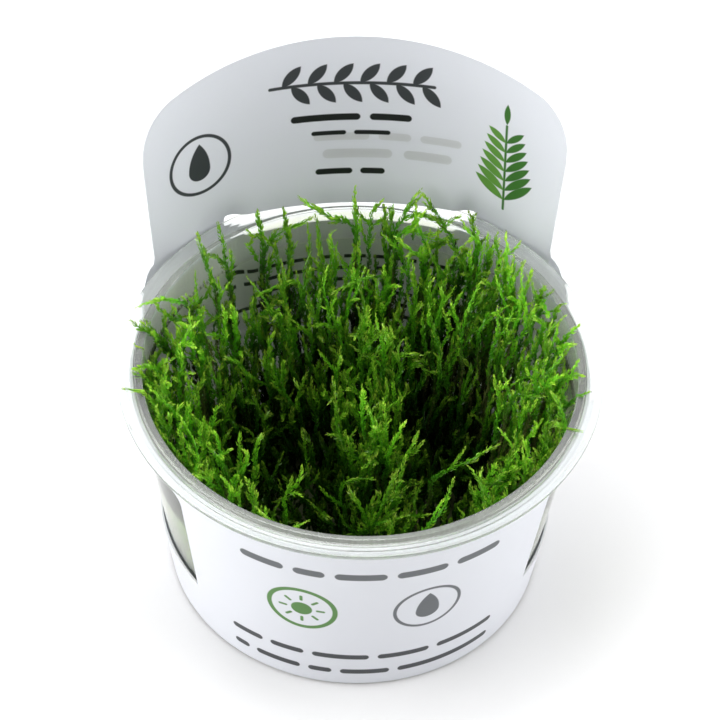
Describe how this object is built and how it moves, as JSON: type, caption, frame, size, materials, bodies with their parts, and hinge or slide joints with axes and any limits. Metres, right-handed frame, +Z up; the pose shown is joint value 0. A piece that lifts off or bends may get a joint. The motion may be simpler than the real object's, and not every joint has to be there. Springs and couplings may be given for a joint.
{
  "type": "tissue culture taiwan moss in a cup",
  "caption": "Tufts of small-leaved green aquarium moss grown in a clear tapered plastic cup, inside a printed sleeve with side windows and a tall arched header.",
  "frame": {"origin": "centre of the cup's flat base", "axes": "+Z up along the cup's axis, -Y towards the sleeve's printed front, +Y towards the tall header"},
  "size_m": [0.101, 0.1055, 0.0989],
  "materials": {
    "clear_plastic": "clear, glossy",
    "culture_gel": "soft, translucent",
    "printed_sheet": "satin, printed",
    "moss_green": "small wet leaves"
  },
  "bodies": {
    "root": {"culture_cup": "clear_plastic", "culture_gel": "culture_gel", "sleeve_label": "printed_sheet", "moss_back": "moss_green", "moss_left": "moss_green", "moss_right": "moss_green", "moss_front": "moss_green", "moss_middle": "moss_green"}
  },
  "joints": []
}
